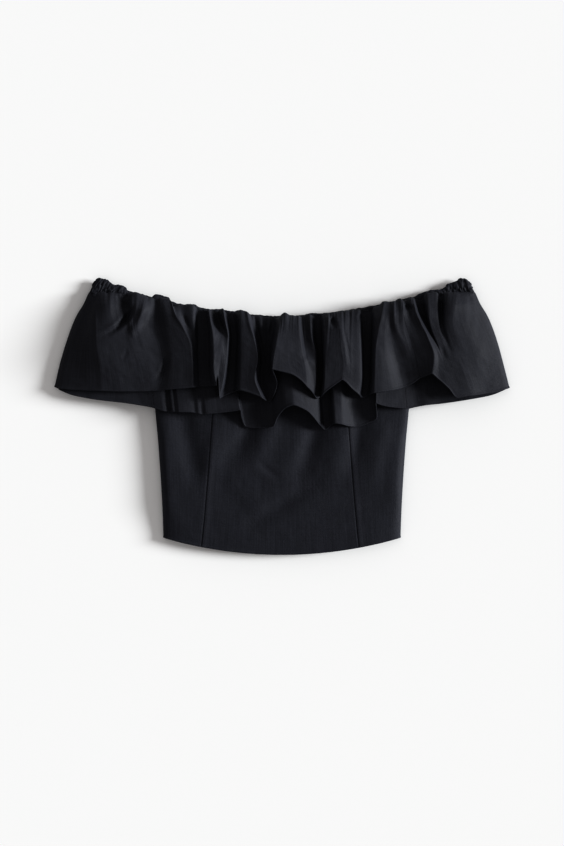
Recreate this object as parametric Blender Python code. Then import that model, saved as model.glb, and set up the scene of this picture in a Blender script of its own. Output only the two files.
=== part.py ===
"""Off-shoulder top with a double flounce, laid flat on a surface with its front side up.

The neck is an elastic casing, a closed ring. Two gathered flounces hang from it one over the other and
run right round, so that they cover the bust and back and make the sleeves. Under them is a fitted bodice
with two princess seams in front and a plain back. +X is the top's left side on the picture's right, +Y runs
towards the neck and +Z is up from the surface. Sizes below are in millimetres.
"""

import bpy
import numpy as np

MM = 0.001
ORIGIN_SHIFT = np.array([0.0, 1.6, 0.0])  # puts the origin under the middle of the whole

# Driving sizes
NECK_HALF = 289.0  # half the laid neckline, from the centre front to the shoulder fold
NECK_FRONT_Y = 156.0  # top of the neckline at the centre front
NECK_RISE = 54.0  # how much higher the neckline is at the shoulder folds
NECK_CURVE = 1.7
NECK_FLARE = 0.0012  # share that the neckline grows by for each millimetre down from it
HEM_FRONT_Y = -213.5  # bodice hem at the centre front
HEM_RISE = 26.0  # how much higher the bodice hem is at the side seams
HEM_HALF = 183.0  # half the bodice width at the hem
UNDERARM_HALF = 198.0  # half the bodice width at the underarm
UNDERARM_Y = 32.0
ARMHOLE_TOP_HALF = 168.0  # half the bodice width where the armhole meets the neckline
SIDE_SEAM_CURVE = 1.6  # how soon the side seams draw in below the underarms
ARMHOLE_CURVE = 2.2
ARMHOLE_RUN = 40.0  # height over which the side seam's edges part into an armhole
PRINCESS_HEM_HALF = 123.5  # half the distance between the princess seams at the hem
PRINCESS_TOP_HALF = 94.0
PRINCESS_CURVE = 0.8
PRINCESS_SHIFT = -3.2  # how far to the right of the top's middle the two seams lie

# Cloth and seams
FLOUNCE_WALL = 1.2
BODICE_WALL = 1.4
SEAM_GAP = 0.3
CASING_THICK = 5.2
CASING_WIDTH = 6.0  # at the centre front, where it rolls under the flounce
CASING_WIDTH_END = 15.0  # at the shoulder folds, where it shows whole
CASING_GATHERS = 36  # on the front, and as many on the back
CASING_FRONT_Z = 8.5  # height of the band's middle, over the back half of itself
CASING_BACK_Z = 2.6
CASING_SCALLOP = 1.3  # how far each gather moves the band's top edge
CASING_DENT = 0.22  # share of the band's thickness that is lost between two gathers

# Base colour and roughness
CLOTH_FINISH = {
    "upper": ((0.025, 0.026, 0.0325), 0.58),
    "lower": ((0.025, 0.026, 0.0325), 0.58),
    "bodice": ((0.025, 0.026, 0.033), 0.60),
    "neck": ((0.025, 0.026, 0.033), 0.60),
}

# Heights of the outer faces in the stack, from the surface up
BACK_LOWER_Z = 1.8
BACK_BODICE_LIFT = 3.7
BACK_LIFT_FROM_Y = -36.0  # where the bodice back starts to climb onto the back flounces
BACK_LIFT_RUN = 32.0
BACK_PLEATS = 5  # soft pleats pressed into the back from side to side
BACK_PLEAT_HIGH = 1.8
BACK_PLEAT_DOWN = 12.0  # how far below the neckline the pleats start
BACK_PLEAT_RUN = 130.0  # length over which they spread out with the cloth
BACK_PLEAT_SPREAD = 0.21
BODICE_NECK_Z = 7.4
BODICE_BUST_Z = 15.0
BODICE_HEM_Z = 10.5
SIDE_SEAM_Z = 3.0
BACK_CURL_FROM = 0.955  # share of the half width at which the bodice back curls up to the side seam
SLEEVE_BED_Z = 6.0
SLEEVE_FROM_X = 150.0  # where the height that the flounces rest on starts to fall away to the sleeves
SLEEVE_RUN = 80.0
SLEEVE_FOLD_Z = 6.0
SLEEVE_CURL_FROM = 0.968  # share of the half width at which the back flounces curl up to the shoulder folds
LOWER_SEAM_RISE = 1.7
UPPER_SEAM_RISE = 3.4
SEAM_RISE_RUN = 0.3  # share of a flounce's drop over which the seam's height fades
CLEAR = 3.0  # the least distance between two outer faces that lie over each other

# A flounce's front, as shares of its drop from the seam to the hem
FOLD_PLACES = (0, 0.16, 0.5, 1)  # where the tables' top, mid and low heights are reached
SWELL_AT = 0.12  # where the ridges bulge up over the neckline
SWELL_RUN = 0.04
UPPER_SWELL = 0.85
FLAT_RIDGE = 4.0  # a ridge as low as this doesn't bulge

# Mesh steps
COLUMN_STEP = 8.0
FOLD_COLUMNS = (1, 0.996, 0.985, 0.968, 0.94, 0.9)  # places across the back, close together at the fold
BACK_COLUMNS = (*FOLD_COLUMNS, *np.linspace(0.85, -0.85, 25), *(-a for a in FOLD_COLUMNS[::-1]))
BACK_SEAM = 8  # columns from a shoulder fold to the seam behind it
PANEL_ROWS = (1, 0.88, 0.76, 0.66, 0.6, 0.565, 0.53, 0.495, 0.46, 0.32, 0.16, 0)
BED_CELL = 1.5
BED_LOW = (-380.0, -230.0)
BED_SIZE = (760.0, 470.0)
UPPER_DOWN = (0, 0.025, 0.055, 0.1, 0.16, 0.25, 0.38, 0.53, 0.7, 0.86, 1)
LOWER_DOWN = (0, 0.07, 0.18, 0.34, 0.52, 0.7, 0.86, 1)

# A row for each ridge and valley of the upper flounce, from the left shoulder fold to the right one. neck,
# middle and hem are its x on the neckline, half way down and at the hem; hem_y is how far down it hangs;
# top, mid and low are its heights over what it lies on, near the neck, half way down and at the hem.
UPPER_COLUMNS = ("neck", "middle", "hem", "hem_y", "top", "mid", "low")
UPPER_FRONT = (
    (-289, -329, -352.5, 46, 1, 1, 1),
    (-286, -315, -334, 42, 10, 16, 12),
    (-280, -300, -300, 40, 16, 27, 20),
    (-268, -286, -263, 39, 20, 34, 25),
    (-256, -263, -247, 38, 23, 31, 25),
    (-232, -241, -232, 38, 7, 28, 25),
    (-208, -219, -216, 39, 25, 32, 25),
    (-191, -185, -182, 42, 11, 22, 22),
    (-176, -140, -137, 46, 27, 31, 25),
    (-160, -133, -131, 46, 14, 20, 19),
    (-142, -128, -125, 46, 23, 20, 19),
    (-122, -119, -114, 46, 6, 5, 7),
    (-114, -110, -106, 53, 14, 14, 13),
    (-109, -103, -101, 63, 23, 30, 27),
    (-98, -95, -97, 63, 14, 32, 28),
    (-88, -84, -92, 60, 25, 31, 26),
    (-79, -77, -90, 28, 10, 8, 6),
    (-69, -67, -74, 36, 9, 8, 9),
    (-63, -60, -60, 40, 23, 24, 18),
    (-57, -41, -44, 42, 29, 32, 23),
    (-47, -33, -32, 32, 10, 8, 12),
    (-29, -24, -18, 24, 5, 3, 4),
    (-12, -15, -7, 43, 7, 11, 15),
    (-2, -10, -15, 73, 27, 37, 37),
    (12, 10, 7, 70, 30, 41, 40),
    (27, 32, 30, 56, 29, 37, 32),
    (33, 50, 46, 39, 12, 22, 19),
    (46, 55, 50, 33, 18, 12, 12),
    (57, 59, 54, 27, 5, 3, 5),
    (66, 72, 70, 39, 17, 14, 15),
    (89, 95, 94, 57, 29, 35, 33),
    (108, 111, 111, 41, 24, 24, 19),
    (134, 132, 126, 28, 5, 3, 5),
    (145, 143, 143, 36, 19, 19, 15),
    (162, 154, 163, 39, 29, 31, 23),
    (180, 180, 194, 44, 24, 13, 8),
    (190, 201, 215, 65, 15, 21, 22),
    (201, 229, 232, 67, 28, 35, 35),
    (205, 236, 253, 47, 18, 28, 25),
    (213, 241, 277, 29, 8, 13, 9),
    (232, 255, 287, 31, 24, 26, 15),
    (253, 264, 297, 32, 12, 28, 20),
    (266, 290, 311, 34, 26, 34, 25),
    (280, 314, 334, 38, 16, 23, 15),
    (289, 329, 352.5, 44, 1, 1, 1),
)
UPPER_SEAMS = (7, 36)  # rows where the front meets the shoulder pieces

# The lower flounce shows only near its hem, so a row needs no middle.
LOWER_COLUMNS = ("neck", "hem", "hem_y", "mid", "low")
LOWER_FRONT = (
    (-285, -346.5, 42, 3, 3),
    (-278, -325, 33, 8, 8),
    (-264, -289, 26, 10, 11),
    (-240, -238, 20, 11, 12),
    (-214, -198, 13, 8, 11),
    (-202, -179, 7, 6, 11),
    (-193, -170, 8, 4, 6),
    (-187, -164, 7, 6, 11),
    (-180, -158, 7, 4, 6),
    (-170, -146, 6, 6, 11),
    (-160, -134, 6, 4, 7),
    (-152, -127, 4, 6, 11),
    (-144, -120, 3, 4, 7),
    (-132, -106, 5, 4, 10),
    (-108, -80, 7, 4, 11),
    (-90, -63, 10, 5, 14),
    (-82, -60, -5, 4, 8),
    (-74, -53, -17, 3, 3),
    (-50, -32, -19, 2, 2),
    (-30, -12, -13, 3, 4),
    (-18, -3, 1, 8, 11),
    (-8, 4, 11, 14, 16),
    (8, 19, 17, 17, 19),
    (26, 38, 8, 13, 16),
    (42, 55, -7, 5, 9),
    (56, 69, -21, 2, 2),
    (66, 78, -13, 4, 7),
    (80, 92, -10, 10, 14),
    (96, 109, -16, 5, 8),
    (116, 128, -14, 2, 3),
    (132, 143, -7, 3, 4),
    (141, 147, -2, 5, 7),
    (150, 151, 18, 8, 14),
    (165, 163, 15, 7, 12),
    (180, 183, 12, 5, 11),
    (192, 197, 13, 4, 11),
    (208, 215, 16, 5, 10),
    (222, 230, 18, 9, 13),
    (240, 258, 21, 7, 11),
    (258, 292, 26, 9, 11),
    (274, 325, 33, 8, 8),
    (285, 346.5, 42, 3, 3),
)
LOWER_SEAMS = (4, 35)

# The back hems hang the same all along.
BACK_HEM_Y = 7.0
BACK_HEM_CURVE = 2.2

# A row for each soft fold pressed into a piece: its ends and the point it bends through, its half width and
# its depth, which is negative for a ridge.
CREASE_COLUMNS = ("x0", "y0", "x1", "y1", "x2", "y2", "half_width", "depth")
UPPER_FOLDS = (
    (-229, 172, -236, 138, -284, 122, 7, 10),
    (-184, 98, -183, 72, -202, 57, 6, 5),
    (191, 177, 197, 170, 205, 163, 5, 7),
)
BODICE_FOLDS = (
    (-187, -10, -165, -60, -132, -150, 14, -2.2),
    (-75, -62, -45, -42, -22, -15, 12, 1.8),
    (10, -78, 28, -50, 34, -20, 16, -1.8),
    (-32, -133, 8, -118, 52, -104, 12, 1.6),
)


def smooth_step(x):
    x = np.clip(x, 0.0, 1.0)
    return x * x * (3 - 2 * x)


def through(knots, values, at):
    """A curve through the values with no overshoot, so that a crest or valley stays where its row puts it."""
    knots, values, at = (np.asarray(a, float) for a in (knots, values, at))
    run = np.diff(knots)
    rise = np.diff(values) / run
    slope = np.zeros(len(knots))
    same_way = rise[:-1] * rise[1:] > 0
    mean = 2 * rise[:-1] * rise[1:] / np.where(same_way, rise[:-1] + rise[1:], 1.0)
    slope[1:-1] = np.where(same_way, mean, 0.0)
    slope[0], slope[-1] = rise[0], rise[-1]
    i = np.clip(np.searchsorted(knots, at, side="right") - 1, 0, len(run) - 1)
    t = (at - knots[i]) / run[i]
    return (
        (1 + 2 * t) * (1 - t) ** 2 * values[i]
        + t * (1 - t) ** 2 * run[i] * slope[i]
        + t * t * (3 - 2 * t) * values[i + 1]
        + t * t * (t - 1) * run[i] * slope[i + 1]
    )


def neck_y(x):
    return NECK_FRONT_Y + NECK_RISE * (np.abs(x) / NECK_HALF) ** NECK_CURVE


def casing_width(x):
    return CASING_WIDTH + (CASING_WIDTH_END - CASING_WIDTH) * (np.abs(x) / NECK_HALF) ** 4


def neck_point(x, down):
    """A point below the neckline at x, where the top grows wider on the way down."""
    return x * (1 + NECK_FLARE * down), neck_y(x) - down


def seam_down(x):
    """How far below the neckline the flounces and bodice meet the casing."""
    return casing_width(x) + SEAM_GAP


def bodice_hem_y(x):
    return HEM_FRONT_Y + HEM_RISE * (np.abs(x) / HEM_HALF) ** 2


def bodice_top_y(x):
    at = x
    for _ in range(4):
        at = x / (1 + NECK_FLARE * seam_down(at))
    return neck_y(at) - seam_down(at)


def side_half(y):
    """Half the bodice width at y: the side seam up to the underarm, then the armhole."""
    down = np.clip((UNDERARM_Y - y) / (UNDERARM_Y - HEM_FRONT_Y), 0, 1)
    seam = UNDERARM_HALF + (HEM_HALF - UNDERARM_HALF) * (1 - (1 - down) ** SIDE_SEAM_CURVE)
    up = np.clip((y - UNDERARM_Y) / (bodice_top_y(ARMHOLE_TOP_HALF) - UNDERARM_Y), 0, 1)
    return seam - (UNDERARM_HALF - ARMHOLE_TOP_HALF) * (1 - (1 - up) ** ARMHOLE_CURVE)


def princess_half(y):
    share = (y - HEM_FRONT_Y) / (NECK_FRONT_Y - HEM_FRONT_Y)
    share = np.clip(share, 0, 1) ** PRINCESS_CURVE
    return PRINCESS_HEM_HALF + (PRINCESS_TOP_HALF - PRINCESS_HEM_HALF) * share


def back_lift(y):
    """The bodice back lies on the surface, and over the back flounces further up."""
    return BACK_BODICE_LIFT * smooth_step((y - BACK_LIFT_FROM_Y) / BACK_LIFT_RUN)


def back_pleats(x, y):
    """Soft pleats pressed into the back, the same in each layer so that the layers nest."""
    t = np.clip((neck_y(x) - BACK_PLEAT_DOWN - y) / BACK_PLEAT_RUN, 0, 1)
    across = x / (NECK_HALF * (1 + BACK_PLEAT_SPREAD * t))
    wave = np.sin(BACK_PLEATS * np.pi / 2 * across) ** 2
    sides = smooth_step((1 - np.abs(across)) / 0.08)
    ends = smooth_step(3 * t) * smooth_step((y - BACK_LIFT_FROM_Y) / BACK_LIFT_RUN)
    return BACK_PLEAT_HIGH * wave * sides * ends


def crown(y):
    """Height of the bodice front along its middle."""
    return through((-230, -120, 20, 110, 175), (BODICE_HEM_Z, 12.5, BODICE_BUST_Z, 11.5, BODICE_NECK_Z), y)


def pressed(x, y, folds):
    """The depth of the soft folds at a point."""
    depth = np.zeros_like(x)
    for row in folds:
        f = dict(zip(CREASE_COLUMNS, row))
        nearest, along = np.full_like(x, 1e9), np.zeros_like(x)
        for t in np.linspace(0, 1, 25):
            px = (1 - t) ** 2 * f["x0"] + 2 * t * (1 - t) * f["x1"] + t * t * f["x2"]
            py = (1 - t) ** 2 * f["y0"] + 2 * t * (1 - t) * f["y1"] + t * t * f["y2"]
            away = np.hypot(x - px, y - py)
            along = np.where(away < nearest, t, along)
            nearest = np.minimum(nearest, away)
        fade = smooth_step(along / 0.25) * 0.6 + 0.4
        depth += f["depth"] * fade * np.exp(-((nearest / f["half_width"]) ** 2))
    return depth


def armhole(y):
    """0 along the side seam and 1 along the armhole, where the front and back edges are free."""
    return smooth_step((y - UNDERARM_Y) / ARMHOLE_RUN)


def bodice_front_height(x, y):
    half = side_half(y)
    across = np.clip(np.abs(x) / half, 0, 1)
    seam = SIDE_SEAM_Z + SEAM_GAP / 2 + back_lift(y) + back_pleats(half, y)
    side = seam + (crown(y) - seam) * armhole(y)
    return side + (crown(y) - side) * (1 - across**4) ** 0.5 - pressed(x, y, BODICE_FOLDS)


def bodice_back_height(x, y):
    across = np.clip(np.abs(x) / side_half(y), 0, 1)
    curl = np.clip((across - BACK_CURL_FROM) / (1 - BACK_CURL_FROM), 0, 1)
    rise = (SIDE_SEAM_Z - SEAM_GAP / 2) * (1 - armhole(y))
    return back_lift(y) + back_pleats(x, y) + rise * (1 - np.sqrt(1 - curl * curl))


def bed_height(x, y):
    """What the flounces' heights are counted from: the bodice, falling away under the sleeves."""
    out = smooth_step((np.abs(x) - SLEEVE_FROM_X) / SLEEVE_RUN)
    return crown(y) * (1 - out) + SLEEVE_BED_Z * out


class Bed:
    """The height of the cloth under a layer, grown by a ball so that what rests on it stays clear."""

    def __init__(self, *surfaces, clear=CLEAR):
        self.last = [int(size / BED_CELL) for size in BED_SIZE]
        raw = np.full([last + 1 for last in self.last], -1000.0)
        for surface in surfaces:
            for a in np.linspace(0, 1, 6):
                for b in np.linspace(0, 1, 9):
                    near = surface[:-1] * (1 - a) + surface[1:] * a
                    p = near[:, :-1] * (1 - b) + near[:, 1:] * b
                    np.maximum.at(raw, tuple(self.cells(p[..., 0], p[..., 1])), p[..., 2])
        self.height = raw.copy()
        reach = int(clear / BED_CELL) + 1
        for di in range(-reach, reach + 1):
            for dj in range(-reach, reach + 1):
                off = (di * di + dj * dj) * BED_CELL**2
                if off <= clear**2:
                    moved = np.roll(raw, (di, dj), (0, 1)) + np.sqrt(clear**2 - off)
                    self.height = np.maximum(self.height, moved)

    def cells(self, x, y):
        return [
            np.clip(np.rint((at - low) / BED_CELL).astype(int), 0, last)
            for at, low, last in zip((x, y), BED_LOW, self.last)
        ]

    def lift(self, surface, soft=2.0):
        """Raises the surface to rest on the bed, with a rounded corner where it leaves it."""
        under = self.height[tuple(self.cells(surface[..., 0], surface[..., 1]))]
        z = surface[..., 2]
        over = 0.5 * (z + under + np.sqrt((z - under) ** 2 + soft**2))
        lifted = surface.copy()
        lifted[..., 2] = np.where(under > -900, over, z)
        return lifted


def columns_of(rows, step):
    """Places along the rows, closer where the cloth is long between two ridges."""
    places = [0.0]
    for i in range(len(rows) - 1):
        gap = np.linalg.norm(rows[i + 1] - rows[i])
        count = int(np.clip(round(gap / step), 2, 5))
        places += [i + (k + 1) / count for k in range(count)]
    return np.array(places)


def fold_values(table, names, at):
    knots = np.arange(len(table))
    columns = np.array(table, float).T
    return {name: through(knots, column, at) for name, column in zip(names, columns)}


def hang(neck, middle, hem, hem_y, v):
    """Points on a flounce from the casing seam, through the middle, to the hem."""
    seam_x, seam_y = neck_point(neck, seam_down(neck))
    x = seam_x * (1 - v) * (1 - 2 * v) + middle * 4 * v * (1 - v) + hem * v * (2 * v - 1)
    return x, seam_y * (1 - v) + hem_y * v


def front_shape(fold, down, seam_rise, puff):
    """The front of a flounce: fold holds the table's columns at each place, and down is from neck to hem."""
    v = down[None, :]
    column = {name: value[:, None] for name, value in fold.items()}
    x, y = hang(column["neck"], column["middle"], column["hem"], column["hem_y"], v)
    bulge = (v / SWELL_AT) ** 3 * np.exp((SWELL_AT - v) / SWELL_RUN)
    swell = puff * np.maximum(column["top"] - FLAT_RIDGE, 0) * bulge
    heights = np.stack([fold["top"] * 0, fold["top"], fold["mid"], fold["low"]], 1)
    h = np.array([through(FOLD_PLACES, row, down) for row in heights])
    rise = seam_rise * smooth_step(1 - v / SEAM_RISE_RUN)
    return np.stack([x, y + swell, bed_height(x, y) + rise + h], -1)


def back_shape(fold, down, outer_z):
    """The back of a flounce, from the right shoulder fold to the left one, flat on what it lies on."""
    across = np.array(BACK_COLUMNS)[:, None]
    share = np.abs(across)
    hem_y = BACK_HEM_Y + (fold["hem_y"] - BACK_HEM_Y) * share**BACK_HEM_CURVE
    x, y = hang(*(across * fold[name] for name in ("neck", "middle", "hem")), hem_y, down[None, :])
    curl = np.clip((share - SLEEVE_CURL_FROM) / (1 - SLEEVE_CURL_FROM), 0, 1)
    z = outer_z + back_pleats(x, y) + SLEEVE_FOLD_Z * (1 - np.sqrt(1 - curl * curl))
    return np.stack([x, y, z], -1)


def unit(vectors):
    return vectors / np.linalg.norm(vectors, axis=-1, keepdims=True)


def tangents(grid, closed=False):
    """The mean direction of the steps on both sides of each point, along the grid's first axis."""
    onward = unit(np.roll(grid, -1, 0) - grid)
    if not closed:
        onward[-1] = onward[-2]
    behind = np.roll(onward, 1, 0)
    if not closed:
        behind[0] = onward[0]
    return onward + behind


def normals_of(surface, closed=False):
    """The outer normals of a grid of points that runs along and then down."""
    down = tangents(surface.swapaxes(0, 1)).swapaxes(0, 1)
    return unit(np.cross(down, tangents(surface, closed)))


def cut_piece(ring, start, stop):
    """The columns of a ring from one seam to the next, drawn in by half the gap at both."""
    piece = ring[np.arange(start, stop + 1) % len(ring)].copy()
    for edge, seam, side in ((0, start, 1), (-1, stop, -1)):
        along = ring[(seam + 1) % len(ring)] - ring[(seam - 1) % len(ring)]
        piece[edge] += side * SEAM_GAP / 2 * unit(along)
    return piece


def cloth_material(piece_name):
    """Each piece has a material of its own, all of them the same blue-black woven cloth."""
    colour, roughness = CLOTH_FINISH[piece_name.split("_")[0]]
    material = bpy.data.materials.new(piece_name + "_cloth")
    material.use_nodes = True
    shader = material.node_tree.nodes["Principled BSDF"]
    shader.inputs["Base Color"].default_value = (*colour, 1)
    shader.inputs["Roughness"].default_value = roughness
    shader.inputs["Metallic"].default_value = 0.0
    return material


def add_piece(name, points, faces, smooth):
    mesh = bpy.data.meshes.new(name)
    mesh.from_pydata(((points + ORIGIN_SHIFT) * MM).tolist(), [], faces)
    mesh.materials.append(cloth_material(name))
    mesh.polygons.foreach_set("use_smooth", smooth)
    piece = bpy.data.objects.new(name, mesh)
    bpy.context.scene.collection.objects.link(piece)
    return piece


def cloth_piece(name, outer, inner):
    """A closed wall of cloth between its outer and inner faces, each a grid of points along and then down."""
    along, down = outer.shape[:2]
    points = np.concatenate([outer.reshape(-1, 3), inner.reshape(-1, 3)])
    under = along * down
    faces = []
    for i in range(along - 1):
        for j in range(down - 1):
            a, b = i * down + j, (i + 1) * down + j
            faces.append((a, a + 1, b + 1, b))
            faces.append((under + a, under + b, under + b + 1, under + a + 1))
    smooth = [True] * len(faces)
    rim = [i * down for i in range(along)]
    rim += [(along - 1) * down + j for j in range(1, down)]
    rim += [i * down + down - 1 for i in range(along - 2, -1, -1)]
    rim += [j for j in range(down - 2, 0, -1)]
    for a, b in zip(rim, rim[1:] + rim[:1]):
        # The same diagonal on both sides of a seam, so that the twisted edges face each other
        low, high = (under + a, under + b)
        faces += [(a, b, high), (a, high, low)] if a < b else [(a, b, low), (b, high, low)]
    smooth += [False] * (len(faces) - len(smooth))
    return add_piece(name, points, faces, smooth)


def bodice_panel(name, left, right, height, across, outer_sides=(0, 0), back=False):
    """A bodice panel between two side lines, which give x at y. Its wall turns sideways at the side seams."""
    s, t = np.meshgrid(across, PANEL_ROWS, indexing="ij")
    y = HEM_FRONT_Y + (NECK_FRONT_Y - HEM_FRONT_Y) * t
    for _ in range(4):
        x = left(y) * (1 - s) + right(y) * s
        y = bodice_hem_y(x) * (1 - t) + bodice_top_y(x) * t
    surface = np.stack([x, y, height(x, y)], -1)
    if back:
        surface = surface[::-1]
    normal = normals_of(surface)
    for edge, side in zip((0, -1), outer_sides):
        if side:
            free = armhole(surface[edge, :, 1])[:, None]
            normal[edge] = unit(normal[edge] * free + np.array([side, 0, 0]) * (1 - free))
    cloth_piece(name, surface, surface - BODICE_WALL * normal)
    return surface


def casing():
    """The elastic casing: one gathered band, from the front over both shoulder folds and along the back."""
    front = np.linspace(-1, 1, CASING_GATHERS * 2 + 1)
    turn = np.linspace(0, np.pi, 7)[1:-1]
    half_drop = (CASING_FRONT_Z - CASING_BACK_Z) / 2
    middle_z = (CASING_FRONT_Z + CASING_BACK_Z) / 2
    end = NECK_HALF - half_drop
    x = np.concatenate(
        [front * end, end + half_drop * np.sin(turn), -front * end, -end - half_drop * np.sin(turn)]
    )
    z = np.concatenate(
        [
            front * 0 + CASING_FRONT_Z,
            middle_z + half_drop * np.cos(turn),
            front * 0 + CASING_BACK_Z,
            middle_z - half_drop * np.cos(turn),
        ]
    )
    out = np.concatenate([front * 0, np.sin(turn), front * 0, -np.sin(turn)])
    up = np.concatenate([front * 0 + 1, np.cos(turn), front * 0 - 1, -np.cos(turn)])
    gather = np.concatenate([np.cos(front * np.pi * CASING_GATHERS), turn * 0] * 2)
    # Section of the band: a place across its width, from seam to top edge, and a share of its thickness
    section = ((0.0, 0.95), (0.45, 1.0), (0.95, 0.6), (1.0, -0.2), (0.6, -1.0), (0.0, -0.95))
    points = []
    for across, thick in section:
        px, py = neck_point(x, casing_width(x) * (1 - across) - CASING_SCALLOP * gather * across)
        half = CASING_THICK / 2 * thick * (1 - CASING_DENT * (1 - gather) * across * (thick > 0))
        points.append(np.stack([px + out * half, py, z + up * half], -1))
    ring = np.stack(points, 1)
    along, around = ring.shape[:2]
    faces = []
    for i in range(along):
        for j in range(around):
            a, b, k = i * around, (i + 1) % along * around, (j + 1) % around
            faces.append((a + j, b + j, b + k, a + k))
    add_piece("neck_casing", ring.reshape(-1, 3), faces, [True] * len(faces))
    return ring[: len(front), :4]


def flounce(name, values, down, seams, seam_rise, puff, outer_z, folds, bed):
    """A flounce as four pieces: the front, two that turn round the shoulder folds, and the back."""
    down = np.array(down, float)
    front = front_shape(values, down, seam_rise, puff)
    front[..., 2] -= pressed(front[..., 0], front[..., 1], folds) * smooth_step(down / 0.2)
    front[:, 1:] = bed.lift(front)[:, 1:]
    back = back_shape({key: value[-1] for key, value in values.items()}, down, outer_z)
    front[-1], front[0] = back[0], back[-1]
    ring = np.concatenate([front, back[1:-1]])
    normal = normals_of(ring, closed=True)
    at_seam = normal[: len(front), 0]
    at_seam[:, 1:] = np.maximum(at_seam[:, 1:], 0)
    at_seam[:] = unit(at_seam)
    inner = ring - FLOUNCE_WALL * normal
    cuts = [seams[0], seams[1], len(front) - 1 + BACK_SEAM, len(ring) - BACK_SEAM]
    order = ("front", "shoulder_right", "back", "shoulder_left")
    for part, start, stop in zip(order, cuts, cuts[1:] + [cuts[0] + len(ring)]):
        cloth_piece(f"{name}_flounce_{part}", cut_piece(ring, start, stop), cut_piece(inner, start, stop))
    return front


def flounce_values(table, names, seams):
    """The table's columns at each place along it, and where the seams fall among the places."""
    ends = fold_values(table, names, np.arange(len(table)))
    places = columns_of(np.stack([ends["hem"], ends["hem_y"], ends["low"]], -1), COLUMN_STEP)
    values = fold_values(table, names, places)
    return values, [int(np.argmin(np.abs(places - seam))) for seam in seams]


def build():
    for old in list(bpy.data.objects):
        bpy.data.objects.remove(old)
    half = SEAM_GAP / 2
    to_side = np.sin(np.linspace(0, np.pi / 2, 9))
    side_to_side = np.concatenate([(0, 0.008, 0.025), np.linspace(0.06, 0.94, 17), (0.975, 0.992, 1)])
    centre = bodice_panel(
        "bodice_front_centre",
        lambda y: PRINCESS_SHIFT + half - princess_half(y),
        lambda y: PRINCESS_SHIFT + princess_half(y) - half,
        bodice_front_height,
        np.linspace(0, 1, 15),
    )
    right = bodice_panel(
        "bodice_front_side_right",
        lambda y: PRINCESS_SHIFT + princess_half(y) + half,
        side_half,
        bodice_front_height,
        to_side,
        outer_sides=(0, 1),
    )
    left = bodice_panel(
        "bodice_front_side_left",
        lambda y: -side_half(y),
        lambda y: PRINCESS_SHIFT - princess_half(y) - half,
        bodice_front_height,
        1 - to_side[::-1],
        outer_sides=(-1, 0),
    )
    bodice_panel(
        "bodice_back",
        lambda y: -side_half(y),
        side_half,
        bodice_back_height,
        side_to_side,
        outer_sides=(1, -1),
        back=True,
    )
    band = casing()
    body = [centre, right, left, band]

    values, seams = flounce_values(LOWER_FRONT, LOWER_COLUMNS, LOWER_SEAMS)
    values["middle"] = (values["neck"] + values["hem"]) / 2
    values["top"] = values["mid"] / 2
    lower = flounce(
        "lower", values, LOWER_DOWN, seams, LOWER_SEAM_RISE, 0.0, BACK_LOWER_Z, (), Bed(*body)
    )
    values, seams = flounce_values(UPPER_FRONT, UPPER_COLUMNS, UPPER_SEAMS)
    flounce(
        "upper",
        values,
        UPPER_DOWN,
        seams,
        UPPER_SEAM_RISE,
        UPPER_SWELL,
        0.0,
        UPPER_FOLDS,
        Bed(*body, lower),
    )


build()
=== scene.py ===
# %% [markdown]
# # An off-shoulder top, laid flat
# The top hangs from an elastic casing round the shoulders. Two gathered flounces fall from it, one over the
# other, and a fitted bodice with princess seams hangs inside them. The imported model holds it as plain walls
# of cloth. This script replaces each wall by a thin shell with the folds, gathers, hems and weave of a crisp,
# blue-black cloth.

import bpy
import numpy as np
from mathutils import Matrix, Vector


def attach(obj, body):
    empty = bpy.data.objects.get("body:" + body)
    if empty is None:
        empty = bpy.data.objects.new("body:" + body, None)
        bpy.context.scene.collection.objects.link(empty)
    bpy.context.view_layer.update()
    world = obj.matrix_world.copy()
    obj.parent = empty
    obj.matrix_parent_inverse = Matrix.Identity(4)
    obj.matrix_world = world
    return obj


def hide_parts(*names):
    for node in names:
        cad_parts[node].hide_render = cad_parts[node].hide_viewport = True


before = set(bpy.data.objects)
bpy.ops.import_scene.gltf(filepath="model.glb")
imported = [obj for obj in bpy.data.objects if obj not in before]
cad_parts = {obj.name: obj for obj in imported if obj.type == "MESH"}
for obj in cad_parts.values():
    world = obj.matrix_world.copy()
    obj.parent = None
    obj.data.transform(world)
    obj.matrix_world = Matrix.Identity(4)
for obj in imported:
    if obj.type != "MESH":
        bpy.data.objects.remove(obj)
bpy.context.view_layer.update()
print("nodes:", len(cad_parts))

# %% [markdown]
# ## Sizes
# The neckline, side seams and hems are curves worked out from a few driving sizes, in millimetres. The origin
# is under the middle of the whole, +Y runs towards the neck and +Z is up. Sizes of one piece are named beside
# it.

# %% The garment's driving sizes
MM = 0.001
ORIGIN_SHIFT = np.array([0.0, 1.6, 0.0])  # puts the middle of the whole over the origin
NECK_HALF = 289.0
NECK_FRONT_Y = 156.0
NECK_RISE = 54.0
NECK_CURVE = 1.7
NECK_FLARE = 0.0012  # how much wider the cloth is for each millimetre under the neckline
HEM_FRONT_Y = -213.5
HEM_RISE = 26.0
HEM_HALF = 183.0
UNDERARM_HALF = 198.0
UNDERARM_Y = 32.0
ARMHOLE_TOP_HALF = 168.0
SIDE_SEAM_CURVE = 1.6
ARMHOLE_CURVE = 2.2
ARMHOLE_RUN = 40.0
PRINCESS_HEM_HALF = 123.5
PRINCESS_TOP_HALF = 94.0
PRINCESS_SHIFT = -3.2  # both princess seams lie a little to the left
PRINCESS_CURVE = 0.8
CASING_WIDTH = 6.0
CASING_WIDTH_END = 19.0
CLOTH = 0.8  # thickness of a shell
SEAM_GAP = 0.3
print("laid width at the neck:", 2 * NECK_HALF, "mm")

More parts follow.
